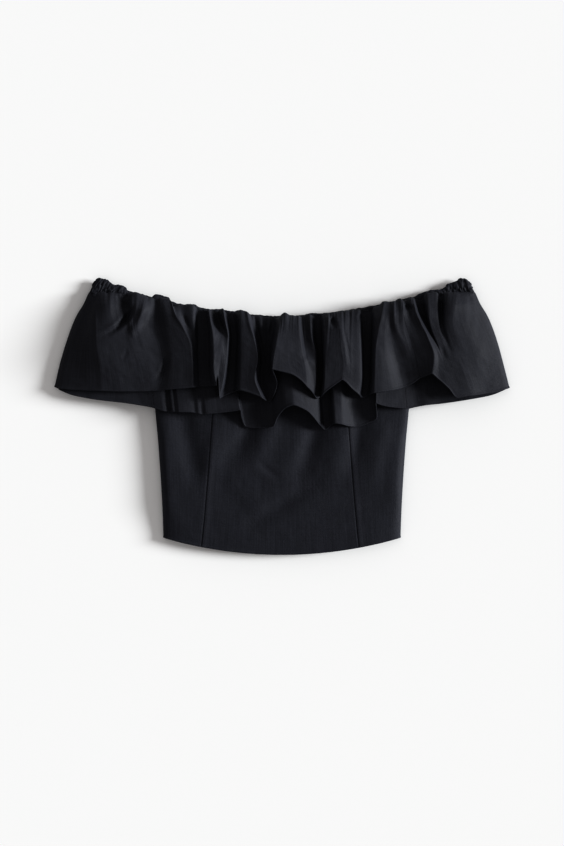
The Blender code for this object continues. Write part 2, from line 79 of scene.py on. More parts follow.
# %% [markdown]
# ## The fold charts
# A gathered flounce falls in ridges and valleys. Each is a row below: where it starts on the neckline, where
# it runs, where it ends at the hem and how high it stands. Places are counted from the middle in steps of
# 1.55 mm, and heights are in millimetres. A crisp row is a sharp crest. Rows listed one by one were chosen
# over a wave function, because no two folds of a real flounce are alike.

# %% The upper flounce
STEP = 1.55

# at0 to at4 are the places across at the seam, at each quarter of the way down and at the hem. hem is how
# high the hem hangs. top, bust, mid and low are heights near the seam, at 1/3, at 3/5 and at the hem.
UPPER_NAMES = ("at0", "at1", "at2", "at3", "at4", "hem", "top", "bust", "mid", "low", "crisp")
UPPER_FRONT = (
    (-186.5, -206, -215, -222, -227.5, 29.5, 1, 1, 1, 1, 0),
    (-184, -203, -212, -219, -223, 28, 5, 6, 6, 5.5, 0),
    (-181, -195, -202, -206, -208, 26.5, 9, 12, 13.5, 11, 0),
    (-178, -186, -185.5, -182, -180, 25.5, 15, 23, 27, 20, 0.7),
    (-169, -174, -173, -168, -164, 25, 20, 24.5, 28, 21, 0),
    (-154, -157, -154, -150, -146, 25, 11, 22.5, 26, 20, 0),
    (-147, -151, -147, -142, -138, 25.2, 22.5, 24, 25, 19.5, 0.2),
    (-133, -144, -139, -132, -130, 25.5, 23.5, 22.5, 22.5, 18, 0.3),
    (-125, -127, -121, -118, -123, 26, 12, 15, 17.5, 17, 0),
    (-117, -114, -111, -110, -112, 27, 18, 20, 20.5, 18, 0),
    (-108.5, -99, -91, -89.5, -89.5, 29, 21, 23, 22.5, 18, 0.8),
    (-101, -95, -88.5, -87.5, -87.5, 29, 15, 17, 17, 15, 0),
    (-90, -88, -85.5, -84.5, -84.5, 29.5, 18, 16, 11, 12, 0),
    (-82, -82.5, -82, -81.5, -81, 29.8, 4, 3, 2, 6, 0),
    (-76, -75, -75, -75, -74, 30, 4, 2, 2, 6, 0),
    (-73.5, -70, -69, -69, -66, 31, 24, 33, 35, 32, 0.6),
    (-69, -65.5, -65, -66, -65.2, 37, 12, 29, 33.5, 31, 0),
    (-65.5, -61, -60.5, -62, -64, 40.5, 5, 25, 31.5, 29.5, 0),
    (-60, -54, -55, -58, -62.5, 17.5, 26, 27, 29, 25, 0.9),
    (-55.5, -50, -51, -53, -58.5, 20, 9, 11, 11, 12, 0),
    (-48, -45.5, -46.5, -47.5, -50, 23.5, 9, 11, 12, 12, 0),
    (-41, -41, -41, -41.5, -42, 26, 24, 29, 30, 24, 0.2),
    (-34.5, -28, -24.5, -27, -20, 18.5, 26, 31.5, 32.5, 26, 1),
    (-31, -25.5, -21.5, -23.5, -15, 15.5, 13, 15, 12, 11, 0),
    (-27, -22, -18, -19, -12.5, 14.5, 8, 7, 0.5, 3, 0),
    (-23, -19, -16.5, -17.5, -12.2, 14.5, 13, 8, 0.5, 3, 0),
    (-18, -16.5, -15, -15.5, -12, 14.5, 7, 5, 0.5, 4, 0),
    (-14, -14, -13.5, -13.5, -11.5, 14.5, 13, 6, 0.5, 4, 0),
    (-8, -10, -11.5, -12, -5, 31.5, 7, 13, 17, 20, 0),
    (-1.5, -4, -6.5, -8.8, -10, 47.5, 25, 36, 42, 43, 0.9),
    (8, 7, 7, 8, 11, 41.5, 24, 33, 38, 38, 0),
    (17, 18.5, 20.5, 24, 25, 29.5, 23, 31, 35.5, 34, 0.9),
    (19.5, 21.5, 24.5, 29, 30, 24.5, 13, 21, 30.5, 27, 0.4),
    (27, 30, 34.5, 34.5, 34, 18.5, 17, 24, 25.5, 17, 0.3),
    (33.5, 34.5, 36.5, 35.8, 35, 17.5, 4, 3, 2, 5, 0),
    (37.5, 38.5, 39.5, 39.5, 37.5, 19, 3, 2, 1, 5, 0),
    (42, 42.5, 42.5, 42.5, 41, 22, 22, 30, 32.5, 27, 0.4),
    (55, 58, 59.5, 61.7, 60, 36.5, 24, 32.5, 35.5, 31, 1),
    (66, 68, 69.5, 71, 70, 27.5, 20, 28.5, 31, 26, 0),
    (76, 78, 79, 79.5, 77.5, 21, 17, 25, 27, 19, 0.2),
    (80, 81.5, 82.5, 82.5, 80.5, 18, 3, 2, 1, 3, 0),
    (87, 87.5, 87, 87, 84, 20, 2, 1, 0.5, 3, 0),
    (92, 91.5, 91, 90.5, 89, 22.5, 17, 24, 26, 20, 0.3),
    (101, 96.5, 93.5, 93, 92.5, 23.5, 25, 30, 30, 23, 0.5),
    (104, 102, 102, 106, 110, 26, 23.5, 28, 27, 20, 0),
    (106.5, 108.5, 112.5, 118, 122, 29, 22.5, 24.5, 19.5, 14, 0),
    (110, 114, 123, 128.5, 130, 32.5, 25, 28, 23.5, 16.5, 0.2),
    (118, 123.5, 129.3, 134, 138, 38, 23, 26.5, 26, 21.5, 0.5),
    (122, 130, 137, 142, 144, 40.5, 20, 27, 30, 27, 0),
    (128, 138, 146.5, 152, 150, 42.5, 25, 32.5, 35.5, 33, 1),
    (131, 141.5, 150.5, 157, 157, 36.5, 12, 22, 30.5, 30, 0),
    (136, 145, 155, 162, 167, 27.5, 5, 18.5, 29.6, 28.8, 0),
    (142, 148.5, 158, 167, 175, 18.5, 20, 25, 29, 27.6, 0),
    (152, 156, 163, 172, 180, 19.3, 19, 24.5, 28.5, 26.7, 0.2),
    (157, 159.5, 166.5, 176, 184, 20.2, 7, 22.5, 28.2, 26, 0),
    (161.5, 163, 170, 179.5, 188, 20.7, 23, 26.5, 28, 25, 0),
    (168, 170, 177, 185, 193, 21.2, 25, 28, 27, 23, 0),
    (174.5, 184, 192, 198, 204, 22.8, 20, 22.5, 21.5, 16, 0),
    (180, 196, 205.5, 211.5, 216.5, 25, 12, 14, 13.5, 10, 0),
    (184, 203.5, 213, 220, 224.5, 27.5, 5.5, 7, 6.5, 5, 0),
    (186.5, 206, 215, 221.5, 227.5, 28.5, 1, 1, 1, 1, 0),
)
UPPER_SEAMS = (8, 47)  # rows where the front meets the shoulder pieces

# Soft folds: where each starts, the point that it bends towards and where it ends, then its half width and
# its depth. A ridge has a negative depth.
CREASE_NAMES = ("x0", "y0", "x1", "y1", "x2", "y2", "wide", "deep")
UPPER_CREASES = (
    (-150, 114, -150, 92, -186, 79, 3.0, 9),
    (-167, 121, -158, 116, -152, 108, 2.2, 3),
    (-150, 97, -158, 90, -184, 86, 4, -3),
    (-134, 116, -143, 92, -156, 76, 5, -3),
    (-117, 62, -113, 46, -130, 35, 3.2, 3),
    (-154, 67, -157, 61, -161, 55, 2.2, 0.9),
    (-99, 104, -94, 92, -89, 78, 1.8, 1.8),
    (-95, 100, -92, 88, -90, 70, 2.0, -0.8),
    (49, 100, 51, 94, 54, 88, 3.2, 5),
    (44, 102, 47, 97, 50, 94, 3.0, -3),
    (78, 103, 79, 99, 80, 95, 3.0, 2.5),
    (59, 90, 63, 70, 66, 40, 1.8, -0.8),
    (62, 90, 66, 70, 69, 44, 1.8, 0.7),
    (22, 60, 28, 56, 36, 50, 4, -2),
    (123, 113, 127, 109, 131, 105, 3.2, 5),
    (131, 117, 139, 113, 142, 106, 2.6, 3),
    (158, 72, 162, 62, 164, 54, 3, 1.2),
    (176, 98, 190, 74, 206, 44, 9, -0.8),
)

print("upper flounce:", len(UPPER_FRONT), "rows,", len(UPPER_CREASES), "creases")

# %% The lower flounce
# It shows only near its hem, so a row needs fewer places.
LOWER_NAMES = ("at0", "at4", "hem", "mid", "low", "crisp")
LOWER_FRONT = (
    (-184, -223.5, 27, 3, 3, 0),
    (-180, -210, 21.5, 8, 8, 0),
    (-170, -187, 17, 10, 11, 0),
    (-155, -154, 13, 11, 12, 0),
    (-138, -128, 8.5, 10, 12, 0),
    (-131, -119, 5.4, 8, 12.2, 0),
    (-125, -112, 4.8, 4, 7.6, 0),
    (-121.5, -109.3, 4.7, 8, 13, 0.3),
    (-116.5, -105.5, 4.5, 6, 11, 0),
    (-114.5, -103.6, 4.4, 8, 13, 0.3),
    (-103, -91, 4.1, 7, 11.9, 0),
    (-98, -86.5, 3.2, 6, 10.8, 0),
    (-94, -83, 2.7, 7, 12.6, 0.2),
    (-89, -79, 2, 6, 11.2, 0),
    (-85, -75.5, 2.4, 7, 13, 0.2),
    (-70, -54, 4.5, 7, 13.5, 0),
    (-58, -41.5, 6.5, 6, 15, 0.8),
    (-54, -40, -1.5, 4, 9, 0),
    (-48, -36, -10.5, 1, 1, 0),
    (-32, -22, -12, 1, 2, 0),
    (-18, -9, -10, 9, 11, 0),
    (-11, -4, 0, 15, 18, 0),
    (-3, 4, 8.5, 21, 25, 0.3),
    (5, 12, 11.3, 22, 27, 0.7),
    (16, 25, 5.5, 17, 21, 0),
    (28, 38, -9, 10, 12, 0.2),
    (35, 43.5, -13.5, 1, 1, 0),
    (41, 48.5, -9.5, 3, 6, 0),
    (46, 53, -7, 15, 19, 0.3),
    (54, 60, -8, 15, 17, 0),
    (62, 68, -10, 5, 7, 0),
    (70, 75, -10.5, 0.5, 0.5, 0),
    (80, 86, -7, 1, 1, 0),
    (89, 94.5, -1, 7, 10, 0),
    (95, 93.5, 13.5, 10, 16, 0.7),
    (104, 104, 10, 8, 13, 0),
    (116, 125, 7.8, 7, 11.5, 0.2),
    (124, 134, 9.5, 7, 11.5, 0),
    (136, 144, 11.3, 9, 13, 0.6),
    (150, 160, 13, 7.5, 11, 0),
    (165, 186, 16.8, 9, 11, 0),
    (177, 210, 21.5, 8, 8, 0),
    (184, 223.5, 27, 3, 3, 0),
)
LOWER_SEAMS = (4, 36)  # rows where the front meets the shoulder pieces
print("lower flounce:", len(LOWER_FRONT), "rows")

# %% [markdown]
# ## Curves
# Every shape is a grid of points, worked out with numpy a whole grid at a time. A few small tools are used
# all over: a smooth step, a curve through some values, and seeded ripples for the unevenness that cloth has.


# %% Curve tools
def join(*parts):
    return np.concatenate(parts)


def smooth(x):
    x = np.clip(x, 0.0, 1.0)
    return x * x * (3 - 2 * x)


def through(knots, values, at, crisp=0.0):
    """Curves through the values with no overshoot. A crisp value is a corner between straight lines."""
    knots, values, at = (np.asarray(a, float) for a in (knots, values, at))
    run = np.diff(knots)
    rise = np.diff(values, axis=-1) / run
    one, two = rise[..., :-1], rise[..., 1:]
    same_way = one * two > 0
    slope = np.zeros_like(values)
    slope[..., 1:-1] = np.where(same_way, 2 * one * two / np.where(same_way, one + two, 1.0), 0.0)
    slope[..., 0], slope[..., -1] = rise[..., 0], rise[..., -1]
    crisp = np.broadcast_to(crisp, values.shape)
    leave, arrive = slope.copy(), slope.copy()
    leave[..., :-1] += crisp[..., :-1] * (rise - slope[..., :-1])
    arrive[..., 1:] += crisp[..., 1:] * (rise - slope[..., 1:])
    i = np.clip(np.searchsorted(knots, at, side="right") - 1, 0, len(run) - 1)
    t = (at - knots[i]) / run[i]
    return (
        (1 + 2 * t) * (1 - t) ** 2 * values[..., i]
        + t * (1 - t) ** 2 * run[i] * leave[..., i]
        + t * t * (3 - 2 * t) * values[..., i + 1]
        + t * t * (t - 1) * run[i] * arrive[..., i + 1]
    )


def ripples(at, size, seed):
    """Uneven waves along a line, from -1 to 1, about one to each size."""
    table = np.random.default_rng(seed).uniform(-1, 1, 1024)
    i = np.floor(at / size).astype(int)
    t = smooth(at / size - i)
    return table[i % 1024] * (1 - t) + table[(i + 1) % 1024] * t


def dapple(x, y, size, seed):
    """Uneven hills and hollows over a plane, from -1 to 1."""
    table = np.random.default_rng(seed).uniform(-1, 1, (256, 256))
    i, j = np.floor(x / size).astype(int), np.floor(y / size).astype(int)
    s, t = smooth(x / size - i), smooth(y / size - j)
    i0, i1, j0, j1 = i % 256, (i + 1) % 256, j % 256, (j + 1) % 256
    near = table[i0, j0] * (1 - s) + table[i1, j0] * s
    far = table[i0, j1] * (1 - s) + table[i1, j1] * s
    return near * (1 - t) + far * t


print("halfway through 0, 1, 4:", through((0, 1, 2), (0, 1, 4), 0.5).round(3))


# %% [markdown]
# ## The outline
# The same curves serve every piece, so that the pieces meet: the neckline, the line where everything is sewn
# to the casing, the bodice hem, the side seams with the armholes, and the princess seams.


# %% Outline curves
def neck_y(x):
    return NECK_FRONT_Y + NECK_RISE * (np.abs(x) / NECK_HALF) ** NECK_CURVE


def casing_width(x):
    return CASING_WIDTH + (CASING_WIDTH_END - CASING_WIDTH) * (np.abs(x) / NECK_HALF) ** 4


def neck_point(x, down):
    return x * (1 + NECK_FLARE * down), neck_y(x) - down


def seam_down(x):
    return casing_width(x) + SEAM_GAP


def bodice_hem_y(x):
    return HEM_FRONT_Y + HEM_RISE * (np.abs(x) / HEM_HALF) ** 2


def bodice_top_y(x):
    """The sewn line over a place across the bodice. The flare moves it outwards, so its start is sought."""
    at = x
    for _ in range(4):
        at = x / (1 + NECK_FLARE * seam_down(at))
    return neck_y(at) - seam_down(at)


def side_half(y):
    down = np.clip((UNDERARM_Y - y) / (UNDERARM_Y - HEM_FRONT_Y), 0, 1)
    seam = UNDERARM_HALF + (HEM_HALF - UNDERARM_HALF) * (1 - (1 - down) ** SIDE_SEAM_CURVE)
    up = np.clip((y - UNDERARM_Y) / (bodice_top_y(ARMHOLE_TOP_HALF) - UNDERARM_Y), 0, 1)
    return seam - (UNDERARM_HALF - ARMHOLE_TOP_HALF) * (1 - (1 - up) ** ARMHOLE_CURVE)


def princess_half(y):
    """Half the distance between the two princess seams."""
    share = (y - HEM_FRONT_Y) / (NECK_FRONT_Y - HEM_FRONT_Y)
    share = np.clip(share, 0, 1) ** PRINCESS_CURVE
    return PRINCESS_HEM_HALF + (PRINCESS_TOP_HALF - PRINCESS_HEM_HALF) * share


def armhole(y):
    return smooth((y - UNDERARM_Y) / ARMHOLE_RUN)


print("bodice half width at the bust:", round(float(side_half(0.0)), 1), "mm")


# %% [markdown]
# ## How high each layer lies
# The back lies on the surface, in low pleats under the neckline. The bodice front is a low dome over it. The
# flounces lie on that, so their heights are counted from a bed.

# %% Heights of the layers
BACK_LIFT = 3.7  # how far the bodice back is lifted where the flounces' back lies under it
LIFT_FROM_Y = -36.0
LIFT_RUN = 32.0
PLEATS = 5
PLEAT_HIGH = 1.8
PLEAT_DOWN = 12.0
PLEAT_RUN = 130.0
PLEAT_SPREAD = 0.21
PLEAT_FADE = 0.08  # share of the half width over which they fade at both sides
BODICE_BUST_Z = 16.0
# The dome's height along the middle of the bodice front, from the hem to the neck: y and z.
DOME = ((-230, 13.5), (-120, 16.2), (20, BODICE_BUST_Z), (110, 11.5), (175, 7.4))
SLEEVE_BED_Z = 6.0
SLEEVE_FROM_X = 150.0
SLEEVE_RUN = 80.0


def back_lift(y):
    return BACK_LIFT * smooth((y - LIFT_FROM_Y) / LIFT_RUN)


def back_pleats(x, y):
    t = np.clip((neck_y(x) - PLEAT_DOWN - y) / PLEAT_RUN, 0, 1)
    across = x / (NECK_HALF * (1 + PLEAT_SPREAD * t))
    wave = np.sin(PLEATS * np.pi / 2 * across) ** 2
    sides = smooth((1 - np.abs(across)) / PLEAT_FADE)
    ends = smooth(3 * t) * smooth((y - LIFT_FROM_Y) / LIFT_RUN)
    return PLEAT_HIGH * wave * sides * ends


def crown(y):
    places, heights = zip(*DOME)
    return through(places, heights, y)


def bed_height(x, y):
    out = smooth((np.abs(x) - SLEEVE_FROM_X) / SLEEVE_RUN)
    return crown(y) * (1 - out) + SLEEVE_BED_Z * out


print("height of the bodice at the bust:", float(crown(20.0)), "mm")

# %% [markdown]
# ## Pressed folds
# Cloth that was lain on or pushed together keeps soft, short folds. Each is a curved trough across the grid
# that fades at both ends, with a low bank on both sides, as real cloth has.

# %% Soft folds
BANK = 1.1  # how much cloth a fold pushes up on both sides
FADE_IN = 0.3  # shares of its length over which a fold begins and ends
FADE_OUT = 0.5


def pressed(x, y, folds):
    """The depth of the soft folds at each point."""
    depth = np.zeros_like(x)
    for row in folds:
        f = dict(zip(CREASE_NAMES, row))
        nearest, along = np.full_like(x, 1e9), np.zeros_like(x)
        for t in np.linspace(0, 1, 33):
            px = ((1 - t) ** 2 * f["x0"] + 2 * t * (1 - t) * f["x1"] + t * t * f["x2"]) * STEP
            py = ((1 - t) ** 2 * f["y0"] + 2 * t * (1 - t) * f["y1"] + t * t * f["y2"]) * STEP
            away = np.hypot(x - px, y - py)
            along = np.where(away < nearest, t, along)
            nearest = np.minimum(nearest, away)
        fade = smooth(along / FADE_IN) * smooth((1 - along) / FADE_OUT)
        near = (nearest / (f["wide"] * STEP)) ** 2
        depth += f["deep"] * fade * (1 - BANK * 0.5 * near) * np.exp(-near)
    return depth


print("a fold fades out over", FADE_OUT, "of its length")

# %% [markdown]
# ## Layers that don't touch
# A flounce lies on the bodice, the casing and the flounce under it. A cloth simulation would keep them apart.
# Here a height map does it, since the shapes are already placed: the map of the lower layers is grown by a
# ball, and the upper layer is lifted to it where it lies too low.

# %% The height map
CLEAR = 2.6  # the least distance between two layers of cloth
EMPTY = -1000.0  # the height of a cell that nothing lies in
LIFT_SOFT = 2.0  # rounds the edge where a lifted layer leaves what it lies on
BED_CELL = 1.5
BED_LOW = (-380.0, -230.0)
BED_SIZE = (760.0, 470.0)


class Bed:
    """The height of the cloth under a layer, grown by a ball so that what rests on it stays clear."""

    def __init__(self, *surfaces):
        self.last = [int(size / BED_CELL) for size in BED_SIZE]
        raw = np.full([last + 1 for last in self.last], EMPTY)
        for surface in surfaces:
            for a in np.linspace(0, 1, 4):
                for b in np.linspace(0, 1, 4):
                    near = surface[:-1] * (1 - a) + surface[1:] * a
                    p = near[:, :-1] * (1 - b) + near[:, 1:] * b
                    np.maximum.at(raw, tuple(self.cells(p[..., 0], p[..., 1])), p[..., 2])
        self.height = raw.copy()
        reach = int(CLEAR / BED_CELL) + 1
        for di in range(-reach, reach + 1):
            for dj in range(-reach, reach + 1):
                off = (di * di + dj * dj) * BED_CELL**2
                if off <= CLEAR**2:
                    moved = np.roll(raw, (di, dj), (0, 1)) + np.sqrt(CLEAR**2 - off)
                    self.height = np.maximum(self.height, moved)

    def cells(self, x, y):
        return [
            np.clip(np.rint((at - low) / BED_CELL).astype(int), 0, last)
            for at, low, last in zip((x, y), BED_LOW, self.last)
        ]

    def under(self, x, y):
        """The height at each point, blended between the cells round it."""
        total, parts = np.zeros_like(x), np.zeros_like(x)
        for dx in (-1, 0, 1):
            for dy in (-1, 0, 1):
                got = self.height[tuple(self.cells(x + dx * BED_CELL, y + dy * BED_CELL))]
                there = got > EMPTY / 2
                total += np.where(there, got, 0)
                parts += there
        return np.where(parts > 0, total / np.maximum(parts, 1), EMPTY)

    def lift(self, surface):
        under = self.under(surface[..., 0], surface[..., 1])
        z = surface[..., 2]
        over = 0.5 * (z + under + np.sqrt((z - under) ** 2 + LIFT_SOFT**2))
        lifted = surface.copy()
        lifted[..., 2] = np.where(under > EMPTY / 2, over, z)
        return lifted


print("height map:", [int(size / BED_CELL) for size in BED_SIZE], "cells")

# %% [markdown]
# ## From a grid of points to cloth
# A piece of cloth is an outer grid and an inner grid just under it, closed along its edges. The inner one is
# moved inwards along the normals, so the cloth keeps its thickness on every slope. A UV map in metres, along
# the piece and up from its hem, lets the weave follow the cloth round each fold.


# %% Grids, their normals and their flat cut
def length_of(vectors):
    return np.linalg.norm(vectors, axis=-1)


def unit(vectors):
    return vectors / np.maximum(length_of(vectors)[..., None], 1e-9)


def tangents(grid, closed=False):
    onward = unit(np.roll(grid, -1, 0) - grid)
    if not closed:
        onward[-1] = onward[-2]
    behind = np.roll(onward, 1, 0)
    if not closed:
        behind[0] = onward[0]
    return onward + behind


def normals_of(surface, closed=False):
    down = tangents(surface.swapaxes(0, 1)).swapaxes(0, 1)
    return unit(np.cross(down, tangents(surface, closed)))


def up_from_hem(surface):
    """How far each point is from the hem, along the cloth."""
    steps = length_of(np.diff(surface, axis=1))
    return np.concatenate([steps[:, ::-1].cumsum(1)[:, ::-1], np.zeros((len(surface), 1))], 1)


def cut_map(surface):
    """Places in the flat cut: along the piece, and up from its hem, in metres."""
    along = length_of(np.diff(surface, axis=0)).mean(1)
    u, v = join([0], np.cumsum(along)), up_from_hem(surface)
    return np.stack([np.broadcast_to(u[:, None], v.shape), v], -1) * MM


def cloth_area(surface):
    a, b = surface[1:, :-1] - surface[:-1, :-1], surface[:-1, 1:] - surface[:-1, :-1]
    return float(length_of(np.cross(a, b)).sum()) * MM * MM


print("a grid turns into a flat cut in metres")

# %% Meshes and shells
pieces = {}


def add_mesh(name, points, faces, uv, sharp):
    """A smooth mesh in metres with a UV map. Each row of sharp is the two ends of a sharp edge."""
    mesh = bpy.data.meshes.new(name)
    mesh.from_pydata(((points + ORIGIN_SHIFT) * MM).tolist(), [], faces.tolist())
    mesh.polygons.foreach_set("use_smooth", np.ones(len(mesh.polygons), bool))
    corners = np.empty(len(mesh.loops), np.int32)
    mesh.loops.foreach_get("vertex_index", corners)
    mesh.uv_layers.new(name="cut").data.foreach_set("uv", uv[corners].ravel())
    if len(sharp):
        edges = np.empty(len(mesh.edges) * 2, np.int32)
        mesh.edges.foreach_get("vertices", edges)
        ends = np.sort(join(edges.reshape(-1, 2), sharp), 1)
        keys = ends[:, 0].astype(np.int64) * len(points) + ends[:, 1]
        flags = mesh.attributes.new("sharp_edge", "BOOLEAN", "EDGE")
        flags.data.foreach_set("value", np.isin(keys[: len(mesh.edges)], keys[len(mesh.edges) :]))
    mesh.validate()
    piece = bpy.data.objects.new(name, mesh)
    bpy.context.scene.collection.objects.link(piece)
    pieces[name] = piece
    return piece


def tell(name, triangles):
    print(name, "has", triangles, "triangles,", round(pieces[name]["cloth_area"], 4), "m2 of cloth")


def shell(name, outer, inner):
    """A closed piece of cloth between two grids of points, which run along and then down."""
    along, down = outer.shape[:2]
    points = join(outer.reshape(-1, 3), inner.reshape(-1, 3))
    index = np.arange(along * down).reshape(along, down)
    under = index + along * down
    a, b, c, d = index[:-1, :-1], index[:-1, 1:], index[1:, 1:], index[1:, :-1]
    top = np.stack([a, b, c, d], -1).reshape(-1, 4)
    bottom = (top + along * down)[:, ::-1]
    rim = join(index[:, 0], index[-1, 1:], index[-2::-1, -1], index[0, -2:0:-1])
    onward = np.roll(rim, -1)
    deep, deep_on = rim + along * down, onward + along * down
    edge = np.stack([rim, onward, deep_on, deep], -1)
    uv = cut_map(outer).reshape(-1, 2)
    sharp = join(np.stack([rim, onward], -1), np.stack([deep, deep_on], -1))
    piece = add_mesh(name, points, join(top, bottom, edge), join(uv, uv), sharp)
    piece["cloth_area"] = cloth_area(outer)
    tell(name, len(top) * 4 + len(edge) * 2)


print("cloth shells are", CLOTH, "mm thick")

# %% A narrow rolled hem
HEM_ROLL = 2.8  # width of the hem
HEM_SWELL = 0.6  # how much it thickens the cloth on each side


def hemmed(outer, normal):
    """Swells the cloth into a narrow rolled hem along its last row. Returns the outer and inner grids."""
    t = np.clip(up_from_hem(outer) / HEM_ROLL, 0, 1)
    roll = np.where(t < 1, np.sqrt(np.clip(1 - (2 * t - 1) ** 2, 0, 1)), 0)[..., None]
    end = np.where(t < 0.05, -0.5, 0)[..., None]
    return outer + normal * HEM_SWELL * (roll + end), outer - normal * (CLOTH + HEM_SWELL * (roll + end))


print("the hem is", CLOTH + 2 * HEM_SWELL, "mm thick")

# %% [markdown]
# ## The bodice
# Four panels: the centre front, two side fronts and one back. A princess seam is a line where the cloth dips
# a little into the stitching, with the allowance pressed to one side under it. The long soft folds come from
# the way the top was laid down, so they are charted one by one.

# %% Form of the bodice
BODICE_CREASES = (
    (-102, 20, -92, -30, -82, -90, 13, 4.2),
    (-118, 10, -118, -50, -108, -120, 9, -0.9),
    (-60, 20, -62, -30, -84, -84, 11, -2.2),
    (-24, 24, -30, -14, -58, -56, 11, 4.2),
    (-10, 16, -8, -30, -44, -66, 12, -2.4),
    (-26, -44, -12, -54, 2, -66, 4.5, 1.0),
    (-40, -112, 0, -88, 52, -56, 10, 2.4),
    (36, 20, 34, -34, 6, -84, 12, 4.2),
    (60, 10, 58, -36, 40, -84, 12, -2.0),
    (82, 20, 76, -30, 62, -74, 9, 1.8),
    (102, 10, 98, -36, 78, -90, 12, -2.2),
    (-76, -50, -50, -84, -4, -130, 12, 0.9),
    (118, -10, 108, -50, 112, -110, 11, -0.9),
)
SIDE_ROUND = 34  # how tightly the front rounds over to the side seams
CORNER_RUN = 60.0  # the hem's corners lie lower, over this length of the side seams
CORNER_DROP = 0.3
SIDE_SEAM_Z = 3.0
BACK_CURL_FROM = 0.955  # share of the width at which the back begins to curl up to the side seam
# The unevenness of the cloth: size, height, how much it is squeezed across, and the seed.
BODICE_WAVES = ((46, 0.35, 1.0, 31), (17, 0.16, 1.6, 32))
SEAM_DIP = 0.42
SEAM_WIDE = 0.75
SEAM_ALLOWANCE = 9.0  # width of the pressed allowance that shows as a low step beside the seam
SEAM_STEP = 0.4
STEP_UP = 1.2  # widths over which the low step rises and falls
STEP_DOWN = 5.0
PUCKER = 6.0  # size, height and reach of the small puckers beside the stitching
PUCKER_HIGH = 0.18
PUCKER_REACH = 9.0
FLAT_EDGE = 0.06  # share of the half width over which the folds fade to the side seams


def princess_relief(x, y):
    """The dip of the seam line and the low step over the allowance, which is pressed to the right."""
    off = np.abs(x - PRINCESS_SHIFT) - princess_half(y)
    onto = off * np.sign(x)
    dip = SEAM_DIP * np.exp(-((off / SEAM_WIDE) ** 2))
    step = SEAM_STEP * smooth(onto / STEP_UP) * smooth((SEAM_ALLOWANCE - onto) / STEP_DOWN)
    pucker = PUCKER_HIGH * ripples(y, PUCKER, 21) * np.exp(-((off / PUCKER_REACH) ** 2))
    return step + pucker - dip


def front_height(x, y):
    half = side_half(y)
    across = np.clip(np.abs(x) / half, 0, 1)
    seam = SIDE_SEAM_Z + SEAM_GAP / 2 + back_lift(y) + back_pleats(half, y)
    side = seam + (crown(y) - seam) * armhole(y)
    wave = sum(high * dapple(x * squeeze, y, size, seed) for size, high, squeeze, seed in BODICE_WAVES)
    middle = smooth((1 - across) / FLAT_EDGE)
    corner = across**6 * smooth(1 - (y - bodice_hem_y(x)) / CORNER_RUN)
    base = side + (crown(y) * (1 - CORNER_DROP * corner) - side) * (1 - across**SIDE_ROUND) ** 0.5
    return base + middle * (princess_relief(x, y) + wave - pressed(x, y, BODICE_CREASES))


def back_height(x, y):
    across = np.clip(np.abs(x) / side_half(y), 0, 1)
    curl = np.clip((across - BACK_CURL_FROM) / (1 - BACK_CURL_FROM), 0, 1)
    rise = (SIDE_SEAM_Z - SEAM_GAP / 2) * (1 - armhole(y))
    return back_lift(y) + back_pleats(x, y) + rise * (1 - np.sqrt(1 - curl * curl))


print("side seams lie at", SIDE_SEAM_Z, "mm")

# %% Cut the four panels
PANEL_EDGE = 0.012  # share of a panel's width with extra columns, where it dips into a seam
# Places from the neck to the hem, crowded together in the rolled hem.
PANEL_ROWS = join(np.linspace(1, 0.03, 170), [0.018, 0.01, 0.006, 0.003, 0.001, 0])


def spread(count):
    """Places from 0 to 1 that crowd together at both ends."""
    inner = np.linspace(0.02, 0.98, count)
    ends = np.array([0, 0.25, 0.6, 1]) * PANEL_EDGE
    return join(ends, inner, 1 - ends[::-1])


def bodice_panel(name, left, right, columns, side_seams, height, back=False):
    """One panel between two lines. side_seams says which way each edge faces where it is a side seam."""
    s, t = np.meshgrid(columns, PANEL_ROWS, indexing="ij")
    y = HEM_FRONT_Y + (NECK_FRONT_Y - HEM_FRONT_Y) * t
    for _ in range(4):
        x = left(y) * (1 - s) + right(y) * s
        y = bodice_hem_y(x) * (1 - t) + bodice_top_y(x) * t
    surface = np.stack([x, y, height(x, y)], -1)
    if back:
        surface = surface[::-1]  # its outer side faces down
    normal = normals_of(surface)
    for edge, side in zip((0, -1), side_seams):
        if side:
            free = armhole(surface[edge, :, 1])[:, None]
            normal[edge] = unit(normal[edge] * free + np.array([side, 0, 0]) * (1 - free))
    outer, inner = (surface, surface - CLOTH * normal) if back else hemmed(surface, normal)
    shell(name, outer, inner)
    return surface


half_gap = 0.02  # two panels meet at a seam, with hardly a thread between them
to_side = np.sin(np.linspace(0, np.pi / 2, 60))
to_side = join([0, 0.004, 0.01], to_side[1:])
columns = join(np.linspace(0, 0.03, 10), np.linspace(0.04, 0.96, 110), np.linspace(0.97, 1, 10))


def princess(side, gap):
    """The line of the left (-1) or right (1) princess seam, moved to the right by a gap."""
    return lambda y: PRINCESS_SHIFT + gap + side * princess_half(y)


def left_side(y):
    return -side_half(y)


# name, the lines at its left and right, the places of its columns and its side seams
FRONT_PANELS = (
    ("front_centre_cloth", princess(-1, half_gap), princess(1, -half_gap), spread(130), (0, 0)),
    ("front_side_right_cloth", princess(1, half_gap), side_half, to_side, (0, 1)),
    ("front_side_left_cloth", left_side, princess(-1, -half_gap), 1 - to_side[::-1], (-1, 0)),
)
bodice_front = [bodice_panel(*panel, front_height) for panel in FRONT_PANELS]
bodice_panel("back_cloth", left_side, side_half, columns, (1, -1), back_height, back=True)

